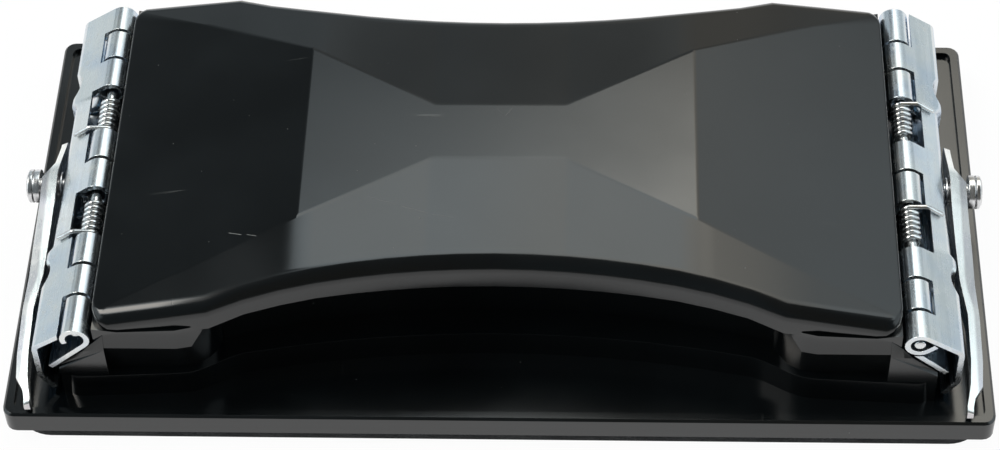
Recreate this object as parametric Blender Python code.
"""Hand sanding block with a moulded grip and a sprung paper clamp at each end.

Metres, +Z up. The origin is the centre of the foam pad's lower face, +X runs along the
block and -Y is the side that both lever arms point to.
"""

import math

import bmesh
import bpy
from mathutils import Matrix, Vector

# Shared clearances and cuts
FIT_GAP = 0.0003
OVERRUN = 0.001
KNUCKLE_GAP = 0.0003

# Foam pad
PAD_THICKNESS = 0.0025
PAD_INSET = 0.001
PAD_CORNER = 0.006
PAD_EDGE = 0.0004

# Plate
PLATE_LENGTH = 0.165
PLATE_WIDTH = 0.085
PLATE_DEPTH = 0.0048
PLATE_CORNER = 0.002
PLATE_EDGE = 0.0004
RIM_WIDTH = 0.0017
RECESS_DEPTH = 0.001
RECESS_CORNER = 0.0012

# Grip cover, heights above the rim of the plate
GRIP_HEIGHT = 0.02405
GRIP_LENGTH = 0.132
GRIP_WAIST = 0.053
GRIP_END_WIDTH = 0.0684
GRIP_ARC_RADIUS = 0.159
GRIP_ARC_REACH = 0.047
GRIP_CORNER = 0.0025
GRIP_EDGE_RADIUS = 0.0014
EDGE_MIDDLE_HEIGHT = 0.0229
EDGE_FOLD_HEIGHT = 0.0222
EDGE_KINK_HEIGHT = 0.0205
EDGE_END_HEIGHT = 0.0172
FOLD_REACH = 0.033
RAMP_END_HEIGHT = 0.0174
BOW_MIDDLE_REACH = 0.011
BOW_MIDDLE_WIDTH = 0.012
BOW_FOLD_WIDTH = 0.0378
RAMP_SHOULDER_REACH = 0.0524
RAMP_SHOULDER_WIDTH = 0.056
LIP_FLARE = 0.0012
LIP_BAND = 0.0007
LIP_RISE = 0.0018
LIP_LEVEL_REACH = 0.029
LIP_FALL_REACH = 0.062
LIP_MIDDLE_HEIGHT = 0.0169
LIP_KINK_HEIGHT = 0.0157
LIP_FALL_HEIGHT = 0.0148
LIP_END_HEIGHT = 0.0155
COVER_WALL = 0.002
ROOF_HEIGHT = 0.0215

# Body below the cover, moulded with the plate
PLINTH_HEIGHT = 0.004
PLINTH_WAIST = 0.0562
PLINTH_ARC_RADIUS = 0.2
PLINTH_DRAFT = 0.0004
PLINTH_CORNER = 0.003
PLINTH_STEP_START = 0.0405
PLINTH_STEP_END = 0.0525
PLINTH_STEP_WIDTH = 0.0738
PLINTH_END_WIDTH = 0.076
NECK_SETBACK = 0.0055
TOWER_START = 0.046
TOWER_END = 0.0662
TOWER_FOOT_WIDTH = 0.0718
TOWER_BEND_WIDTH = 0.0736
TOWER_TOP_WIDTH = 0.0706
TOWER_BEND_HEIGHT = 0.0103
TOWER_TOP_HEIGHT = 0.0136
TOWER_CORNER = 0.0065
POST_START = 0.0645
POST_WIDTH = 0.0742
POST_CHAMFER = 0.001
POST_START_DROP = 0.0028
POST_END_DROP = 0.0004
SEAT_END = 0.0726
BODY_WALL = 0.0024

# Ribs and cover screws
POCKET_LENGTH = 0.0136
POCKET_WIDTH = 0.0116
RIB = 0.002
TOWER_POCKET_LENGTH = 0.012
TOWER_POCKET_START = 0.0505
BOSS_DIAMETER = 0.0105
SCREW_DIAMETER = 0.003
SCREW_HEAD_DIAMETER = 0.0062
SCREW_HEAD_HEIGHT = 0.002
SCREW_SEAT_DEPTH = 0.003
SCREW_GRIP = 0.0042

# Clamp: pin axis, from the middle of the block and above the rim
PIN_REACH = 0.0691
PIN_HEIGHT = 0.01325
PIN_DIAMETER = 0.002
PIN_SETBACK = 0.0014
SHEET = 0.00095
CURL_RADIUS = 0.0025
CLAMP_START = -0.0365
KNUCKLE_END = 0.0057
KNUCKLE = 0.0066
KNUCKLE_LAST = 0.0078
SPRING_WINDOW = 0.0101

# Jaw, sizes from the pin axis
LAND_SLOPE = math.radians(34)
PRESSED_SLOPE = math.radians(37.5)
SKIRT_REACH = 0.0075
SKIRT_DROP = 0.0099
JAW_LIP_REACH = 0.0047
JAW_BEND_RADIUS = 0.0013
PRESS_DEPTH = 0.0008
PRESS_REACH = 0.0156
PRESS_RUN = 0.0013
NOTCH_RADIUS = 0.0046
NOTCH_DEPTH = 0.0013
NOTCH_REACH = 0.0212
NOTCH_HEIGHT = 0.0062
KNUCKLE_CUT_REACH = 0.0031
WINDOW_CUT_REACH = 0.0035
JAW_CURL_END = math.radians(-48)
JAW_CURL_TAIL = 0.0018

# Fixed leaf
LEAF_SLOPE = math.radians(42.8)
LEAF_LENGTH = 0.0087
LEAF_CURL_END = math.radians(-30)
LEAF_RIVET_DIAMETER = 0.0026
LEAF_RIVET_HEAD = 0.0048
LEAF_RIVET_HEAD_HEIGHT = 0.0011
LEAF_RIVET_DEPTH = 0.004
LEAF_RIVET_ALONG = 0.006
LEAF_RIVET_REACH = 0.0195

# Torsion springs
SPRING_DIAMETER = 0.0039
SPRING_WIRE = 0.00065
SPRING_PITCH = 0.00115
SPRING_END_GAP = 0.0009
SPRING_OUTER_LEG = 0.0066
SPRING_INNER_LEG = 0.0042
SPRING_LEG_SLOPE = math.radians(20.8)
SPRING_BEND = 0.0007

# Lever, sizes from the rivet axis
RIVET_HEIGHT = 0.0088
LEVER_GAP = 0.0009
LEVER_SHEET = 0.001
LEVER_RISE = 0.0038
LEVER_DROP = 0.0034
LEVER_ARM = 0.0422
LEVER_END_HEIGHT = 0.003
LEVER_END_CLEARANCE = 0.0004
LEVER_END_RADIUS = 0.0011
NUB_REACH = 0.0109
NUB_WIDTH = 0.004
NUB_SLOPE = math.radians(10)
FLANGE_WIDTH = 0.00185
FLANGE_BEND_WIDTH = 0.0016
FLANGE_FRONT_WIDTH = 0.00105
FLANGE_SLOPE = math.radians(24)
FLANGE_REAR = 0.0035
FLANGE_LEAST = 0.00006
FLANGE_REAR_SHARE = 0.7
JOG_START = 0.005
JOG_RISE = 0.013
JOG_BEND = 0.019
JOG_CREST = 0.025
JOG_LEVEL = 0.033
FLANGE_TAPER_START = 0.0372
FLANGE_TAPER_END = 0.0395
JOG_RISE_SET = 0.0003
JOG_BEND_SET = 0.00065
JOG_CREST_SET = 0.00165
JOG_LEVEL_SET = 0.00175
JOG_TAPER_SET = 0.0015
JOG_TAB_SET = 0.0011
JOG_TIP_SET = 0.00075
RIVET_DIAMETER = 0.0028
RIVET_SHOULDER = 0.0052
RIVET_HEAD = 0.0058
RIVET_HEAD_HEIGHT = 0.001
RIVET_GROOVE = 0.0046
RIVET_GROOVE_WIDTH = 0.0002
RIVET_COLLAR_HEIGHT = 0.00105
RIVET_NECK = 0.0026
RIVET_TAIL = 0.0042
RIVET_TAIL_HEIGHT = 0.0005
HEAD_EDGE_SHARE = 0.7
HEAD_CROWN_SHARE = 0.8

# Facets
ARC_STEPS = 8
CORNER_STEPS = 4
FILLET_STEPS = 3
STEP_POINTS = 6
CURL_STEPS = 14
BEND_STEPS = 4
ROUND_SIDES = 20
COIL_POINTS = 9
COIL_TURNS = 6
POCKET_COLUMNS = 6
POCKET_ROWS = 3
SCREW_COLUMN = 2

# Levels
PLATE_BOTTOM = PAD_THICKNESS + FIT_GAP
RIM_TOP = PLATE_BOTTOM + PLATE_DEPTH
FLOOR = RIM_TOP - RECESS_DEPTH
PIN_LEVEL = RIM_TOP + PIN_HEIGHT
RIVET_LEVEL = RIM_TOP + RIVET_HEIGHT
SHEET_MIDDLE = CURL_RADIUS - SHEET / 2
BODY_BEND = RIM_TOP + TOWER_BEND_HEIGHT


def material(name, colour, roughness, metallic):
    """A Principled BSDF material."""
    made = bpy.data.materials.new(name)
    made.use_nodes = True
    shader = made.node_tree.nodes["Principled BSDF"]
    shader.inputs["Base Color"].default_value = (*colour, 1)
    shader.inputs["Roughness"].default_value = roughness
    shader.inputs["Metallic"].default_value = metallic
    made.diffuse_color = (*colour, 1)
    return made


def finished(name, mesh_data, surface, smooth_angle=30):
    """Put a bmesh into a named object, smooth across angles below smooth_angle degrees."""
    mesh = bpy.data.meshes.new(name)
    bmesh.ops.recalc_face_normals(mesh_data, faces=mesh_data.faces)
    mesh_data.to_mesh(mesh)
    mesh_data.free()
    made = bpy.data.objects.new(name, mesh)
    bpy.context.scene.collection.objects.link(made)
    if surface:
        mesh.materials.append(surface)
    mesh.shade_smooth()
    mesh.set_sharp_from_angle(angle=math.radians(smooth_angle))
    return made


def ring_solid(rings, strip_caps=False):
    """Join rings of equal count, bottom first. Strip caps join the two halves of a ring across Y."""
    made = bmesh.new()
    loops = [[made.verts.new(point) for point in ring] for ring in rings]
    count = len(loops[0])
    for lower, upper in zip(loops, loops[1:]):
        for i in range(count):
            j = (i + 1) % count
            made.faces.new((lower[i], lower[j], upper[j], upper[i]))
    for loop in (loops[0], loops[-1]):
        if not strip_caps:
            made.faces.new(loop)
            continue
        for i in range(count // 2 - 1):
            made.faces.new((loop[i], loop[i + 1], loop[count - 2 - i], loop[count - 1 - i]))
    return made


def prism(points, start, end, axis="Z"):
    """Extrude a plane outline between two places along an axis."""
    place = {
        "X": lambda a, b, c: (c, a, b),
        "Y": lambda a, b, c: (a, c, b),
        "Z": lambda a, b, c: (a, b, c),
    }[axis]
    return ring_solid([[place(a, b, c) for a, b in points] for c in (start, end)])


def box(low, high):
    """A box between two corners."""
    corners = [(low[0], low[1]), (high[0], low[1]), (high[0], high[1]), (low[0], high[1])]
    return prism(corners, low[2], high[2])


def round_bar(radii_and_places, matrix, sides=ROUND_SIDES):
    """A turned bar along its own Z: pairs of radius and place, laid out by a matrix."""
    rings = []
    for radius, place in radii_and_places:
        turn = [2 * math.pi * i / sides for i in range(sides)]
        rings.append([matrix @ Vector((radius * math.cos(a), radius * math.sin(a), place)) for a in turn])
    return ring_solid(rings)


def combine(target, tool, operation):
    """Apply a Boolean of the tool to the target, then remove the tool."""
    modifier = target.modifiers.new(operation.title(), "BOOLEAN")
    modifier.operation = operation
    modifier.solver = "EXACT"
    modifier.object = tool
    view = bpy.context.evaluated_depsgraph_get()
    result = bpy.data.meshes.new_from_object(target.evaluated_get(view))
    old = target.data
    target.modifiers.clear()
    target.data = result
    bpy.data.meshes.remove(old)
    bpy.data.objects.remove(tool)


def join_tools(parts):
    """Put separate bmesh tools that don't touch into one tool object."""
    whole = bmesh.new()
    for part in parts:
        bmesh.ops.recalc_face_normals(part, faces=part.faces)
        piece = bpy.data.meshes.new("piece")
        part.to_mesh(piece)
        part.free()
        whole.from_mesh(piece)
        bpy.data.meshes.remove(piece)
    return finished("tool", whole, None)


def cut(target, *parts):
    """Cut bmesh shapes that don't touch each other out of the target."""
    combine(target, join_tools(parts), "DIFFERENCE")


def fuse(target, part):
    """Add one bmesh shape to the target."""
    combine(target, join_tools([part]), "UNION")


def move_origin(made, place):
    """Set an object's origin without moving its surface."""
    made.data.transform(Matrix.Translation(-Vector(place)))
    made.location = place


def rounded_rectangle(length, width, corner, grow=0):
    """Corners as arcs, counter-clockwise."""
    half_x = length / 2 + grow
    half_y = width / 2 + grow
    radius = max(corner + grow, FIT_GAP)
    points = []
    for quarter, (sx, sy) in enumerate(((1, 1), (-1, 1), (-1, -1), (1, -1))):
        for i in range(CORNER_STEPS + 1):
            angle = math.pi / 2 * (quarter + i / CORNER_STEPS)
            x = sx * (half_x - radius) + radius * math.cos(angle)
            y = sy * (half_y - radius) + radius * math.sin(angle)
            points.append((x, y))
    return points


def interpolate(table, x):
    """Straight-line value at |x| in a table of reach and value."""
    reach = abs(x)
    for (x0, v0), (x1, v1) in zip(table, table[1:]):
        if reach <= x1:
            return v0 + (v1 - v0) * (reach - x0) / (x1 - x0)
    return table[-1][1]


def waist(x, middle, radius):
    """Half width of a waisted side at x, an arc that bulges inwards."""
    return middle + radius - math.sqrt(radius**2 - x**2)


def waisted_half(length, middle, arc_radius, arc_reach, end, corner, grow=0, step=None):
    """Upper half of a waisted outline from -X to +X: arc, smooth step if any, straight run, corner.

    A step is its end along X and the half width there.
    """
    half = length / 2 + grow
    radius = max(corner + grow, FIT_GAP)
    kink_x = arc_reach
    kink_y = waist(arc_reach, middle, arc_radius)
    side = []
    for i in range(ARC_STEPS + 1):
        x = arc_reach * i / ARC_STEPS
        side.append((x, waist(x, middle, arc_radius) + grow))
    if step:
        for i in range(1, STEP_POINTS + 1):
            share = i / STEP_POINTS
            eased = share * share * (3 - 2 * share)
            side.append((kink_x + (step[0] - kink_x) * share, kink_y + (step[1] - kink_y) * eased + grow))
        kink_x, kink_y = step
    start = half - radius
    for i in range(1, 3):
        x = kink_x + (start - kink_x) * i / 2
        side.append((x, kink_y + (end - kink_y) * (x - kink_x) / (length / 2 - kink_x) + grow))
    top = side[-1][1] - radius
    for i in range(1, CORNER_STEPS + 1):
        angle = math.pi / 2 * (1 - i / CORNER_STEPS)
        side.append((start + radius * math.cos(angle), top + radius * math.sin(angle)))
    return [(-x, y) for x, y in reversed(side[1:])] + side


def ring_of(half, height):
    """Close a half outline across Y, at a height that may depend on x."""
    level = height if callable(height) else lambda x: height
    upper = [(x, y, level(x)) for x, y in half]
    lower = [(x, -y, level(x)) for x, y in reversed(half)]
    return upper + lower


def grip_half(grow=0):
    """Half outline of the grip's wall."""
    return waisted_half(
        GRIP_LENGTH, GRIP_WAIST / 2, GRIP_ARC_RADIUS, GRIP_ARC_REACH, GRIP_END_WIDTH / 2, GRIP_CORNER, grow
    )


def edge_level(x):
    """Height of the grip's top edge: bowed over the middle, then falling with the ramp."""
    if abs(x) <= FOLD_REACH:
        drop = (EDGE_MIDDLE_HEIGHT - EDGE_FOLD_HEIGHT) * (x / FOLD_REACH) ** 2
        return RIM_TOP + EDGE_MIDDLE_HEIGHT - drop
    table = (
        (FOLD_REACH, EDGE_FOLD_HEIGHT),
        (GRIP_ARC_REACH, EDGE_KINK_HEIGHT),
        (GRIP_LENGTH / 2, EDGE_END_HEIGHT),
    )
    return RIM_TOP + interpolate(table, x)


def lip_level(x):
    """Height of the lower edge of the cover's lip."""
    table = (
        (0, LIP_MIDDLE_HEIGHT),
        (LIP_LEVEL_REACH, LIP_MIDDLE_HEIGHT),
        (GRIP_ARC_REACH, LIP_KINK_HEIGHT),
        (LIP_FALL_REACH, LIP_FALL_HEIGHT),
        (GRIP_LENGTH / 2, LIP_END_HEIGHT),
    )
    return RIM_TOP + interpolate(table, x)


def ramp_level(x):
    """Height of the flat middle and of the ramps beyond the folds."""
    table = ((0, GRIP_HEIGHT), (FOLD_REACH, GRIP_HEIGHT), (GRIP_LENGTH / 2, RAMP_END_HEIGHT))
    return RIM_TOP + interpolate(table, x)


def crease_half():
    """Crease from -X to +X at +Y, up to the last point before the end of the grip."""
    side = (
        (BOW_MIDDLE_REACH, BOW_MIDDLE_WIDTH / 2),
        (FOLD_REACH, BOW_FOLD_WIDTH / 2),
        (RAMP_SHOULDER_REACH, RAMP_SHOULDER_WIDTH / 2),
    )
    return [(-x, y) for x, y in reversed(side)] + list(side)


def zip_faces(made, first, second):
    """Triangles between two chains of vertices that both run along +X."""
    i = j = 0
    while i < len(first) - 1 or j < len(second) - 1:
        step_first = j == len(second) - 1 or (
            i < len(first) - 1 and first[i + 1].co.x <= second[j + 1].co.x
        )
        if step_first:
            made.faces.new((first[i], first[i + 1], second[j]))
            i += 1
        else:
            made.faces.new((first[i], second[j + 1], second[j]))
            j += 1


def cover_shell():
    """Outer body of the cover: lip, wall, rounded edge and the creased top."""
    bottom = [
        ring_of(grip_half(LIP_FLARE), lip_level),
        ring_of(grip_half(LIP_FLARE), lambda x: lip_level(x) + LIP_BAND),
        ring_of(grip_half(), lambda x: lip_level(x) + LIP_RISE),
    ]
    edge = []
    for i in range(FILLET_STEPS + 1):
        angle = math.pi / 2 * i / FILLET_STEPS
        inset = GRIP_EDGE_RADIUS * (1 - math.cos(angle))
        drop = GRIP_EDGE_RADIUS * (1 - math.sin(angle))
        edge.append(ring_of(grip_half(-inset), lambda x, drop=drop: edge_level(x) - drop))
    made = bmesh.new()
    loops = [[made.verts.new(point) for point in ring] for ring in bottom + edge]
    count = len(loops[0])
    for lower, upper in zip(loops, loops[1:]):
        for i in range(count):
            j = (i + 1) % count
            made.faces.new((lower[i], lower[j], upper[j], upper[i]))
    under = loops[0]
    for i in range(count // 2 - 1):
        made.faces.new((under[i], under[i + 1], under[count - 2 - i], under[count - 1 - i]))
    top = loops[-1]
    creases = {}
    for side in (1, -1):
        edge_run = top[: count // 2] if side > 0 else list(reversed(top[count // 2 :]))
        crease = [made.verts.new((x, side * y, ramp_level(x))) for x, y in crease_half()]
        zip_faces(made, crease, edge_run)
        creases[side] = [edge_run[0], *crease, edge_run[-1]]
    for start, end in ((0, 3), (2, 6), (5, 8)):
        made.faces.new((*creases[1][start:end], *reversed(creases[-1][start:end])))
    return made


def pocket_places():
    """Centres of the rib pockets under the grip."""
    columns = [(POCKET_LENGTH + RIB) * (i - (POCKET_COLUMNS - 1) / 2) for i in range(POCKET_COLUMNS)]
    rows = [(POCKET_WIDTH + RIB) * (i - (POCKET_ROWS - 1) / 2) for i in range(POCKET_ROWS)]
    return [(x, y) for x in columns for y in rows]


def screw_places():
    """Rib crossings that carry the cover screws."""
    x = SCREW_COLUMN * (POCKET_LENGTH + RIB)
    y = (POCKET_WIDTH + RIB) / 2
    return [(sx * x, sy * y) for sx in (1, -1) for sy in (1, -1)]


def pocket_tool(floor_level, roof):
    """Pockets from a level up to a roof that depends on x, with the screw bosses left standing."""
    pockets = []
    for x, y in pocket_places():
        low = (x - POCKET_LENGTH / 2, y - POCKET_WIDTH / 2)
        high = (x + POCKET_LENGTH / 2, y + POCKET_WIDTH / 2)
        outline = [(low[0], floor_level), (high[0], floor_level), (high[0], roof(high[0])), (low[0], roof(low[0]))]
        pockets.append(prism(outline, low[1], high[1], "Y"))
    tool = join_tools(pockets)
    posts = []
    for x, y in screw_places():
        place = Matrix.Translation((x, y, 0))
        posts.append(round_bar([(BOSS_DIAMETER / 2, 0), (BOSS_DIAMETER / 2, RIM_TOP + GRIP_HEIGHT)], place))
    combine(tool, join_tools(posts), "DIFFERENCE")
    return tool


def screw_seat_level():
    """Height of the face that the screw heads pull against."""
    return lip_level(screw_places()[0][0]) - FIT_GAP - SCREW_SEAT_DEPTH


def make_cover(surface):
    """The grip cover, ribbed below."""
    made = finished("grip_cover", cover_shell(), surface)

    def roof(x):
        return min(ramp_level(x) - COVER_WALL, RIM_TOP + ROOF_HEIGHT)

    combine(made, pocket_tool(RIM_TOP + LIP_FALL_HEIGHT - OVERRUN, roof), "DIFFERENCE")
    holes = []
    for x, y in screw_places():
        place = Matrix.Translation((x, y, 0))
        radius = SCREW_DIAMETER / 2 + FIT_GAP
        start = lip_level(x) - OVERRUN
        end = lip_level(x) + SCREW_GRIP + FIT_GAP
        holes.append(round_bar([(radius, start), (radius, end)], place, ROUND_SIDES // 2))
    cut(made, *holes)
    return made


def make_screws(surface):
    """Four screws that pull the cover down from inside the body."""
    for number, (x, y) in enumerate(screw_places(), 1):
        seat = screw_seat_level()
        place = Matrix.Translation((x, y, 0))
        head = SCREW_HEAD_DIAMETER / 2
        shank = SCREW_DIAMETER / 2
        profile = [
            (head, seat - FIT_GAP - SCREW_HEAD_HEIGHT),
            (head, seat - FIT_GAP),
            (shank, seat - FIT_GAP),
            (shank, lip_level(x) + SCREW_GRIP - FIT_GAP),
        ]
        finished(f"cover_screw_{number}", round_bar(profile, place, ROUND_SIDES // 2), surface)


def make_pad(surface):
    """The flat foam pad under the plate."""
    length = PLATE_LENGTH - 2 * PAD_INSET
    width = PLATE_WIDTH - 2 * PAD_INSET
    rings = []
    for z, grow in ((0, -PAD_EDGE), (PAD_EDGE, 0), (PAD_THICKNESS - PAD_EDGE, 0), (PAD_THICKNESS, -PAD_EDGE)):
        rings.append([(x, y, z) for x, y in rounded_rectangle(length, width, PAD_CORNER, grow)])
    finished("foam_pad", ring_solid(rings), surface)


def plate_solid():
    """The plate without its recess."""
    rings = []
    levels = (
        (PLATE_BOTTOM, -PLATE_EDGE),
        (PLATE_BOTTOM + PLATE_EDGE, 0),
        (RIM_TOP - PLATE_EDGE, 0),
        (RIM_TOP, -PLATE_EDGE),
    )
    for z, grow in levels:
        rings.append([(x, y, z) for x, y in rounded_rectangle(PLATE_LENGTH, PLATE_WIDTH, PLATE_CORNER, grow)])
    return ring_solid(rings)


def recess_tool():
    """The shallow recess inside the rim."""
    length = PLATE_LENGTH - 2 * RIM_WIDTH
    width = PLATE_WIDTH - 2 * RIM_WIDTH
    return prism(rounded_rectangle(length, width, RECESS_CORNER), FLOOR, RIM_TOP + OVERRUN)


def plinth_solid():
    """Low foot of the body along its whole length, stepped out smoothly under the towers."""
    rings = []
    step = (PLINTH_STEP_END, PLINTH_STEP_WIDTH / 2)
    for z, grow in ((FLOOR - OVERRUN, 0), (RIM_TOP + PLINTH_HEIGHT, -PLINTH_DRAFT)):
        half = waisted_half(
            2 * SEAT_END, PLINTH_WAIST / 2, PLINTH_ARC_RADIUS, PLINTH_STEP_START, PLINTH_END_WIDTH / 2,
            PLINTH_CORNER, grow, step,
        )
        rings.append(ring_of(half, z))
    return ring_solid(rings, strip_caps=True)


def neck_solid():
    """The set-back wall that fingers hold, between plinth and lip."""
    half = grip_half(-NECK_SETBACK + LIP_FLARE)
    levels = (RIM_TOP + PLINTH_HEIGHT - OVERRUN, RIM_TOP + GRIP_HEIGHT)
    return ring_solid([ring_of(half, z) for z in levels], strip_caps=True)


def post_solid(side):
    """The corner posts beside a leaf's seat, chamfered along the slope."""
    rings = []
    for x, drop in ((POST_START, POST_START_DROP), (SEAT_END, POST_END_DROP)):
        top = seat_level(x)
        outline = [(POST_WIDTH / 2, FLOOR - OVERRUN), (POST_WIDTH / 2, top - drop), (POST_WIDTH / 2 - POST_CHAMFER, top)]
        half = outline + [(-y, z) for y, z in reversed(outline)]
        rings.append([(side * x, y, z) for y, z in half])
    return ring_solid(rings)


def tower_solid(side):
    """One end of the body, with undercut sides and rounded inner corners."""
    rings = []
    levels = (
        (RIM_TOP, TOWER_FOOT_WIDTH),
        (BODY_BEND, TOWER_BEND_WIDTH),
        (RIM_TOP + TOWER_TOP_HEIGHT, TOWER_TOP_WIDTH),
        (RIM_TOP + GRIP_HEIGHT, TOWER_TOP_WIDTH),
    )
    for z, width in levels:
        half = width / 2
        ring = [(side * SEAT_END, -half, z)]
        ring.append((side * SEAT_END, half, z))
        for sy in (1, -1):
            turns = range(CORNER_STEPS + 1) if sy > 0 else range(CORNER_STEPS, -1, -1)
            for i in turns:
                angle = math.pi / 2 * i / CORNER_STEPS
                x = TOWER_START + TOWER_CORNER - TOWER_CORNER * math.sin(angle)
                y = half - TOWER_CORNER + TOWER_CORNER * math.cos(angle)
                ring.append((side * x, sy * y, z))
        rings.append(ring)
    return ring_solid(rings)


def seat_level(x):
    """Height of the sloped seat of the fixed leaf at a reach from the middle."""
    distance = CURL_RADIUS + FIT_GAP
    across = x - PIN_REACH
    return PIN_LEVEL - (distance + math.sin(LEAF_SLOPE) * across) / math.cos(LEAF_SLOPE)


def crown_tool():
    """All that lies above the parting line of the cover and the two sloped seats."""
    overhang = SEAT_END + OVERRUN
    side = [(x, lip_level(x) - FIT_GAP) for x in (0, LIP_LEVEL_REACH, GRIP_ARC_REACH, LIP_FALL_REACH)]
    side.append((TOWER_END, lip_level(TOWER_END) - FIT_GAP))
    side.append((TOWER_END, seat_level(TOWER_END)))
    side.append((overhang, seat_level(overhang)))
    side.append((overhang, RIM_TOP + GRIP_HEIGHT + OVERRUN))
    outline = [(-x, z) for x, z in reversed(side[1:])] + side
    return prism(outline, -PLATE_WIDTH / 2, PLATE_WIDTH / 2, "Y")


def tower_pockets():
    """Pockets under the two ends of the body."""
    pockets = []
    width = TOWER_TOP_WIDTH - 2 * BODY_WALL
    count = math.ceil(width / (TOWER_POCKET_LENGTH + RIB))
    pitch = (width + RIB) / count
    start = TOWER_POCKET_START
    end = start + TOWER_POCKET_LENGTH
    roof = RIM_TOP + LIP_FALL_HEIGHT - BODY_WALL
    for side in (1, -1):
        for i in range(count):
            low = -width / 2 + i * pitch
            x_low, x_high = sorted((side * start, side * end))
            pockets.append(box((x_low, low, PLATE_BOTTOM - OVERRUN), (x_high, low + pitch - RIB, roof)))
    return pockets


def leaf_frame(side):
    """Matrix of the seat at a clamp: Z out of the seat, origin at the leaf's rivet line."""
    across = Vector((math.cos(LEAF_SLOPE), 0, -math.sin(LEAF_SLOPE)))
    out = Vector((math.sin(LEAF_SLOPE), 0, math.cos(LEAF_SLOPE)))
    place = Vector((PIN_REACH, 0, PIN_LEVEL)) - out * (CURL_RADIUS + FIT_GAP) + across * LEAF_RIVET_ALONG
    matrix = Matrix.Translation(place) @ Matrix((across, Vector((0, 1, 0)), out)).transposed().to_4x4()
    return turned(side) @ matrix


def turned(side):
    """The right clamp as it is, or turned half a turn about Z for the left."""
    return Matrix.Identity(4) if side > 0 else Matrix.Rotation(math.pi, 4, "Z")


def make_base(surface):
    """Plate, plinth, neck and both ends in one moulding, cored from below."""
    made = finished("base_plate", plate_solid(), surface)
    cut(made, recess_tool())
    fuse(made, plinth_solid())
    fuse(made, neck_solid())
    for side in (1, -1):
        fuse(made, tower_solid(side))
        fuse(made, post_solid(side))
    cut(made, crown_tool())

    def roof(x):
        return lip_level(x) - FIT_GAP - BODY_WALL

    combine(made, pocket_tool(PLATE_BOTTOM - OVERRUN, roof), "DIFFERENCE")
    cut(made, *tower_pockets())
    holes = []
    for x, y in screw_places():
        place = Matrix.Translation((x, y, 0))
        bore = SCREW_HEAD_DIAMETER / 2 + FIT_GAP
        hole = SCREW_DIAMETER / 2 + FIT_GAP
        profile = [
            (bore, PLATE_BOTTOM - OVERRUN),
            (bore, screw_seat_level()),
            (hole, screw_seat_level()),
            (hole, lip_level(x) + OVERRUN),
        ]
        holes.append(round_bar(profile, place, ROUND_SIDES // 2))
    for side in (1, -1):
        for along in (1, -1):
            place = leaf_frame(side) @ Matrix.Translation((0, along * LEAF_RIVET_REACH, 0))
            radius = LEAF_RIVET_DIAMETER / 2 + FIT_GAP
            ends = [(radius, -LEAF_RIVET_DEPTH - FIT_GAP), (radius, OVERRUN)]
            holes.append(round_bar(ends, place, ROUND_SIDES // 2))
    cut(made, *holes)
    return made


def stretches():
    """Knuckles along a clamp, from its start: kind, start and end. M turns, F is fixed, W is a window."""
    kinds = "MFMWFMWFMF"
    place = CLAMP_START
    found = []
    for number, kind in enumerate(kinds):
        length = SPRING_WINDOW if kind == "W" else KNUCKLE
        if number == 0:
            length = KNUCKLE_END
        if number == len(kinds) - 1:
            length = KNUCKLE_LAST
        found.append((kind, place, place + length))
        place += length
    return found


def clamp_end():
    """Far end of a clamp's last knuckle."""
    return stretches()[-1][2]


def fillet_path(points, radius, steps=BEND_STEPS):
    """Round the inner corners of an open path in a plane."""
    path = [Vector(points[0])]
    for before, corner, after in zip(points, points[1:], points[2:]):
        corner = Vector(corner)
        back = (Vector(before) - corner).normalized()
        ahead = (Vector(after) - corner).normalized()
        half = back.angle(ahead) / 2
        centre = corner + (back + ahead).normalized() * radius / math.sin(half)
        first = corner + back * radius / math.tan(half) - centre
        last = corner + ahead * radius / math.tan(half) - centre
        sweep = first.angle_signed(last)
        for i in range(steps + 1):
            path.append(centre + Matrix.Rotation(-sweep * i / steps, 2) @ first)
    path.append(Vector(points[-1]))
    return path


def sheet_outline(path, thickness):
    """Closed outline of a bent sheet from the path of its middle."""
    outer, inner = [], []
    for i, point in enumerate(path):
        before = path[max(i - 1, 0)]
        after = path[min(i + 1, len(path) - 1)]
        first = (point - before).normalized() if i else (after - point).normalized()
        second = (after - point).normalized() if i < len(path) - 1 else first
        along = (first + second).normalized()
        normal = Vector((-along.y, along.x))
        reach = thickness / 2 / normal.dot(Vector((-first.y, first.x)))
        outer.append(point + normal * reach)
        inner.append(point - normal * reach)
    return outer + list(reversed(inner))


def curl(start, end):
    """Middle of the sheet round the pin, from one angle to another."""
    steps = CURL_STEPS
    angles = [start + (end - start) * i / steps for i in range(steps + 1)]
    return [Vector((SHEET_MIDDLE * math.cos(a), SHEET_MIDDLE * math.sin(a))) for a in angles]


def jaw_section(press):
    """Outline of the jaw's bent sheet from the pin axis, with its land and skirt pressed in."""
    slope_here = LAND_SLOPE + (PRESSED_SLOPE - LAND_SLOPE) * press / PRESS_DEPTH
    normal = math.pi / 2 - slope_here
    start = Vector((math.cos(normal), math.sin(normal))) * SHEET_MIDDLE
    skirt = SKIRT_REACH - SHEET / 2 - press
    corner = (skirt, start.y - (skirt - start.x) * math.tan(slope_here))
    foot = (skirt, -SKIRT_DROP)
    slope = Vector((JAW_LIP_REACH - skirt, FLOOR + FIT_GAP + SHEET / 2 - (PIN_LEVEL - SKIRT_DROP)))
    run = slope.normalized()
    lip = Vector(foot) + slope - run * SHEET / 2
    bends = fillet_path([start, corner, foot, lip], JAW_BEND_RADIUS)
    round_pin = curl(JAW_CURL_END + 2 * math.pi, normal)
    straight = Vector((-math.sin(JAW_CURL_END), math.cos(JAW_CURL_END)))
    tail = round_pin[0] + straight * JAW_CURL_TAIL
    return sheet_outline([tail, *round_pin[:-1], *bends], SHEET)


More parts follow.
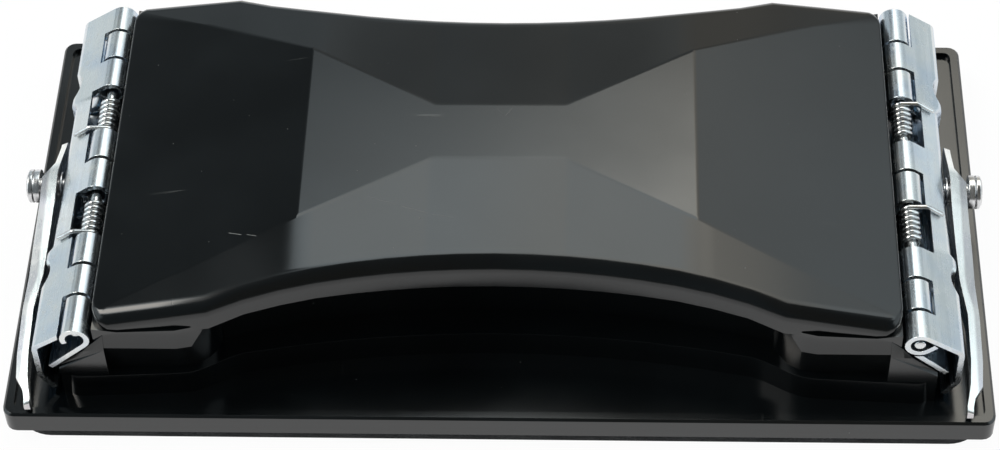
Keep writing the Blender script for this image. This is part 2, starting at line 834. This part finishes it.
def press_at(y):
    """How far the skirt is pressed in at a place along the clamp."""
    share = (PRESS_REACH + PRESS_RUN - abs(y)) / PRESS_RUN
    return PRESS_DEPTH * min(max(share, 0), 1)


def clamp_ring(section, y, side):
    """Put a section from the pin axis into the block at a place along the clamp."""
    matrix = turned(side)
    return [matrix @ Vector((PIN_REACH + u, y, PIN_LEVEL + w)) for u, w in section]


def make_jaw(side, surface):
    """The moving half of a clamp: curl, land, skirt and gripping lip."""
    name = "right_jaw" if side > 0 else "left_jaw"
    edges = (PRESS_REACH, PRESS_REACH + PRESS_RUN)
    places = [CLAMP_START, -edges[1], -edges[0], edges[0], edges[1], clamp_end()]
    rings = [clamp_ring(jaw_section(press_at(y)), y, side) for y in places]
    made = finished(name, ring_solid(rings), surface)
    reach = CURL_RADIUS + OVERRUN
    tools = []
    for kind, start, end in stretches():
        if kind == "M":
            continue
        edge = WINDOW_CUT_REACH if kind == "W" else KNUCKLE_CUT_REACH
        gap = 0 if kind == "W" else KNUCKLE_GAP
        low = start - gap if start > CLAMP_START else start - OVERRUN
        high = end + gap if end < clamp_end() else end + OVERRUN
        low_corner = (PIN_REACH - reach, low, PIN_LEVEL - reach)
        high_corner = (PIN_REACH + edge, high, PIN_LEVEL + reach)
        tools.append(placed(box(low_corner, high_corner), side))
    for tool in tools:
        cut(made, tool)
    level = PIN_LEVEL - math.tan(LAND_SLOPE) * SKIRT_REACH + CURL_RADIUS + OVERRUN
    centre = PIN_REACH + SKIRT_REACH - NOTCH_DEPTH + NOTCH_RADIUS
    notches = []
    for along in (1, -1):
        place = turned(side) @ Matrix.Translation((centre, along * NOTCH_REACH, level))
        ends = [(NOTCH_RADIUS, -NOTCH_HEIGHT - OVERRUN), (NOTCH_RADIUS, OVERRUN)]
        notches.append(round_bar(ends, place, 2 * ROUND_SIDES))
    cut(made, *notches)
    place = rivet_matrix(side)
    hole = RIVET_DIAMETER / 2 + FIT_GAP
    cut(made, round_bar([(hole, -SHEET - OVERRUN), (hole, LEVER_GAP)], place))
    move_origin(made, (side * PIN_REACH, 0, PIN_LEVEL))
    return made


def placed(part, side):
    """Turn a bmesh shape to its clamp."""
    bmesh.ops.transform(part, matrix=turned(side), verts=part.verts)
    return part


def leaf_section():
    """Outline of the fixed leaf's bent sheet from the pin axis."""
    normal = math.pi * 1.5 - LEAF_SLOPE
    path = curl(LEAF_CURL_END, normal)
    along = Vector((math.cos(LEAF_SLOPE), -math.sin(LEAF_SLOPE)))
    path.append(path[-1] + along * LEAF_LENGTH)
    return sheet_outline(path, SHEET)


def make_leaf(side, surface):
    """The fixed half of a clamp, riveted to the seat."""
    name = "right_fixed_leaf" if side > 0 else "left_fixed_leaf"
    rings = [clamp_ring(leaf_section(), y, side) for y in (CLAMP_START, clamp_end())]
    made = finished(name, ring_solid(rings), surface)
    place = turned(side) @ Matrix.Translation((PIN_REACH, 0, PIN_LEVEL)) @ Matrix.Rotation(-math.pi / 2, 4, "X")
    radius = CURL_RADIUS + FIT_GAP
    for kind, start, end in stretches():
        if kind == "F":
            continue
        low = start - KNUCKLE_GAP if kind == "M" else start
        high = end + KNUCKLE_GAP if kind == "M" else end
        low = low if start > CLAMP_START else start - OVERRUN
        cut(made, round_bar([(radius, low), (radius, high)], place, 2 * ROUND_SIDES))
    for along in (1, -1):
        hole = leaf_frame(side) @ Matrix.Translation((0, along * LEAF_RIVET_REACH, 0))
        radius_hole = LEAF_RIVET_DIAMETER / 2 + FIT_GAP
        cut(made, round_bar([(radius_hole, -OVERRUN), (radius_hole, SHEET + OVERRUN)], hole, ROUND_SIDES // 2))
    return made


def make_pin(side, surface):
    """The hinge pin of a clamp."""
    name = "right_hinge_pin" if side > 0 else "left_hinge_pin"
    place = turned(side) @ Matrix.Translation((PIN_REACH, 0, PIN_LEVEL)) @ Matrix.Rotation(-math.pi / 2, 4, "X")
    radius = PIN_DIAMETER / 2
    ends = [(radius, CLAMP_START), (radius, clamp_end() - PIN_SETBACK)]
    finished(name, round_bar(ends, place, ROUND_SIDES), surface)


def make_leaf_rivets(side, surface):
    """Two rivets that hold a fixed leaf on its seat."""
    word = "right" if side > 0 else "left"
    for along in (1, -1):
        end = "rear" if along * side > 0 else "front"
        place = leaf_frame(side) @ Matrix.Translation((0, along * LEAF_RIVET_REACH, 0))
        shank = LEAF_RIVET_DIAMETER / 2
        head = LEAF_RIVET_HEAD / 2
        seat = FIT_GAP + SHEET + FIT_GAP
        profile = [
            (shank, -LEAF_RIVET_DEPTH),
            (shank, seat),
            (head, seat),
            (head, seat + LEAF_RIVET_HEAD_HEIGHT / 2),
            (shank, seat + LEAF_RIVET_HEAD_HEIGHT),
        ]
        finished(f"{word}_leaf_rivet_{end}", round_bar(profile, place, ROUND_SIDES // 2), surface)


def spring_points(window_end):
    """Middle of a spring's wire from the pin axis: inner leg, coils, outer leg."""
    radius = (SPRING_DIAMETER - SPRING_WIRE) / 2
    start = -math.pi / 2 - SPRING_LEG_SLOPE
    end = -2 * math.pi * COIL_TURNS - math.pi * 1.5
    turns = (start - end) / (2 * math.pi)
    last = window_end - SPRING_END_GAP
    first = last - turns * SPRING_PITCH
    points = []
    tangent = Vector((math.cos(SPRING_LEG_SLOPE), 0, -math.sin(SPRING_LEG_SLOPE)))
    foot = Vector((radius * math.cos(start), first, radius * math.sin(start)))
    points.extend([foot + tangent * SPRING_INNER_LEG, foot + tangent * SPRING_INNER_LEG / 2])
    steps = round(turns * COIL_POINTS)
    for i in range(steps + 1):
        angle = start + (end - start) * i / steps
        y = first + (last - first) * i / steps
        points.append(Vector((radius * math.cos(angle), y, radius * math.sin(angle))))
    rise = CURL_RADIUS + FIT_GAP + SPRING_WIRE / 2
    normal = Vector((math.sin(PRESSED_SLOPE), math.cos(PRESSED_SLOPE)))
    land = Vector((math.cos(PRESSED_SLOPE), -math.sin(PRESSED_SLOPE)))
    bend =Vector(((rise - normal.y * radius) / normal.x, radius))
    leg = fillet_path([(0, radius), bend, bend + land * (SPRING_OUTER_LEG - bend.x)], SPRING_BEND, 3)
    points.extend(Vector((u, last, w)) for u, w in leg[1:])
    return points


def least_gap(points):
    """Least gap of a spring's wire to its own other turns."""
    skip = COIL_POINTS // 2
    least = math.inf
    for i, first in enumerate(points):
        for second in points[i + skip :]:
            least = min(least, (first - second).length)
    return least - SPRING_WIRE


def make_springs(side, surface):
    """Two torsion springs round the pin, one in each window."""
    word = "right" if side > 0 else "left"
    for kind, start, window_end in stretches():
        if kind != "W":
            continue
        end = "rear" if (start + window_end) * side > 0 else "front"
        curve = bpy.data.curves.new(f"{word}_spring_{end}", "CURVE")
        curve.dimensions = "3D"
        curve.bevel_depth = SPRING_WIRE / 2
        curve.bevel_resolution = 1
        curve.use_fill_caps = True
        points = spring_points(window_end)
        spline = curve.splines.new("POLY")
        spline.points.add(len(points) - 1)
        for slot, point in zip(spline.points, points):
            place = turned(side) @ Vector((PIN_REACH + point.x, point.y, PIN_LEVEL + point.z))
            slot.co = (*place, 1)
        curve.materials.append(surface)
        made = bpy.data.objects.new(curve.name, curve)
        bpy.context.scene.collection.objects.link(made)
        print(f"{curve.name}: least gap to itself {1000 * least_gap(points):.2f} mm")


def rivet_matrix(side):
    """Rivet axis of a lever: Z outboard, origin on the outer face of the pressed skirt."""
    face = PIN_REACH + SKIRT_REACH - PRESS_DEPTH
    return Matrix.Translation((side * face, 0, RIVET_LEVEL)) @ Matrix.Rotation(side * math.pi / 2, 4, "Y")


def lever_stations():
    """The lever from nub to front tip: place along Y, top, bottom, flange width and outboard jog."""
    radius = NUB_WIDTH / 2
    middle = Vector((math.cos(NUB_SLOPE), -math.sin(NUB_SLOPE))) * (NUB_REACH - radius)
    found = []
    for i in range(1, CORNER_STEPS + 1):
        angle = math.pi / 2 * i / CORNER_STEPS
        half = radius * math.sin(angle)
        found.append((middle.x + radius * math.cos(angle), middle.y + half, middle.y - half, FLANGE_LEAST, 0))
    found.append((FLANGE_REAR, LEVER_RISE * FLANGE_REAR_SHARE, -LEVER_DROP, FLANGE_LEAST, 0))
    front = (
        (0, FLANGE_WIDTH, 0),
        (JOG_START, FLANGE_WIDTH, 0),
        (JOG_RISE, FLANGE_WIDTH, JOG_RISE_SET),
        (JOG_BEND, FLANGE_BEND_WIDTH, JOG_BEND_SET),
        (JOG_CREST, FLANGE_FRONT_WIDTH, JOG_CREST_SET),
        (JOG_LEVEL, FLANGE_FRONT_WIDTH, JOG_LEVEL_SET),
        (FLANGE_TAPER_START, FLANGE_FRONT_WIDTH, JOG_TAPER_SET),
        (FLANGE_TAPER_END, FLANGE_LEAST, JOG_TAB_SET),
        (LEVER_ARM - LEVER_END_RADIUS, FLANGE_LEAST, JOG_TIP_SET),
    )
    for forward, width, jog in front:
        found.append((-forward, lever_top(-forward), lever_bottom(-forward), width, jog))
    for i in range(1, CORNER_STEPS):
        angle = math.pi / 2 * i / CORNER_STEPS
        y = -LEVER_ARM + LEVER_END_RADIUS * (1 - math.sin(angle))
        trim = LEVER_END_RADIUS * (1 - math.cos(angle))
        found.append((y, lever_top(y) - trim, lever_bottom(y) + trim, FLANGE_LEAST, JOG_TIP_SET))
    return found


def lever_top(y):
    """Height of the web's top edge above the rivet, forward of it."""
    fall = LEVER_RISE - (LEVER_END_HEIGHT - RIVET_HEIGHT)
    return LEVER_RISE + fall * y / LEVER_ARM


def lever_bottom(y):
    """Height of the web's lower edge below the rivet, forward of it."""
    end = LEVER_END_CLEARANCE - RIVET_HEIGHT
    return -LEVER_DROP - (end + LEVER_DROP) * y / LEVER_ARM


def lever_solid(side):
    """Web and outward flange as one bent sheet, section by section."""
    inner = PIN_REACH + SKIRT_REACH - PRESS_DEPTH + LEVER_GAP
    slope = math.tan(FLANGE_SLOPE)
    thick = LEVER_SHEET / math.cos(FLANGE_SLOPE)
    rings = []
    for y, top, bottom, width, jog in lever_stations():
        edge = LEVER_SHEET + width
        section = (
            (0, bottom),
            (LEVER_SHEET, bottom),
            (LEVER_SHEET, max(top - LEVER_SHEET * slope - thick, bottom + FLANGE_LEAST)),
            (edge, max(top - edge * slope - thick, bottom + FLANGE_LEAST)),
            (edge, top - edge * slope),
            (0, top),
        )
        rings.append([(side * (inner + jog + u), y, RIVET_LEVEL + w) for u, w in section])
    return ring_solid(rings)


def make_lever(side, surface):
    """The cam lever on the outer face of a jaw."""
    name = "right_lever" if side > 0 else "left_lever"
    made = finished(name, lever_solid(side), surface)
    hole = RIVET_DIAMETER / 2 + FIT_GAP
    ends = [(hole, LEVER_GAP - OVERRUN), (hole, LEVER_GAP + LEVER_SHEET + OVERRUN)]
    cut(made, round_bar(ends, rivet_matrix(side)))
    middle = PIN_REACH + SKIRT_REACH - PRESS_DEPTH + LEVER_GAP + LEVER_SHEET / 2
    move_origin(made, (side * middle, 0, RIVET_LEVEL))
    return made


def make_lever_rivet(side, surface):
    """The shouldered rivet that carries a lever, its head grooved into two discs."""
    name = "right_lever_rivet" if side > 0 else "left_lever_rivet"
    shank = RIVET_DIAMETER / 2
    shoulder = RIVET_SHOULDER / 2
    head = RIVET_HEAD / 2
    groove = RIVET_GROOVE / 2
    tail = RIVET_TAIL / 2
    under_head = LEVER_GAP + LEVER_SHEET + RIVET_NECK - FIT_GAP
    groove_start = under_head + RIVET_COLLAR_HEIGHT
    groove_end = groove_start + RIVET_GROOVE_WIDTH
    profile = [
        (tail, -SHEET - FIT_GAP - RIVET_TAIL_HEIGHT),
        (tail, -SHEET - FIT_GAP),
        (shank, -SHEET - FIT_GAP),
        (shank, FIT_GAP),
        (shoulder, FIT_GAP),
        (shoulder, LEVER_GAP - FIT_GAP),
        (shank, LEVER_GAP - FIT_GAP),
        (shank, under_head),
        (head, under_head),
        (head, groove_start),
        (groove, groove_start),
        (groove, groove_end),
        (head, groove_end),
        (head, groove_end + RIVET_HEAD_HEIGHT * HEAD_EDGE_SHARE),
        (head * HEAD_CROWN_SHARE, groove_end + RIVET_HEAD_HEIGHT),
    ]
    return finished(name, round_bar(profile, rivet_matrix(side)), surface)


def parent_keep(child, parent):
    """Parent an object where it stands."""
    bpy.context.view_layer.update()
    child.parent = parent
    child.matrix_parent_inverse = parent.matrix_world.inverted()


def main():
    for old in list(bpy.data.objects):
        bpy.data.objects.remove(old)
    plastic = material("black_plastic", (0.012, 0.012, 0.013), 0.22, 0)
    body_plastic = material("black_body_plastic", (0.018, 0.018, 0.02), 0.35, 0)
    foam = material("black_foam", (0.02, 0.02, 0.02), 0.9, 0)
    zinc = material("zinc_plated_steel", (0.62, 0.63, 0.62), 0.28, 1)
    wire = material("spring_wire", (0.55, 0.56, 0.57), 0.25, 1)
    steel = material("rivet_steel", (0.6, 0.6, 0.6), 0.3, 1)
    make_pad(foam)
    make_base(body_plastic)
    make_cover(plastic)
    make_screws(steel)
    for side in (-1, 1):
        make_leaf(side, zinc)
        make_leaf_rivets(side, steel)
        make_pin(side, steel)
        make_springs(side, wire)
        jaw = make_jaw(side, zinc)
        rivet = make_lever_rivet(side, steel)
        lever = make_lever(side, zinc)
        parent_keep(rivet, jaw)
        parent_keep(lever, jaw)


main()
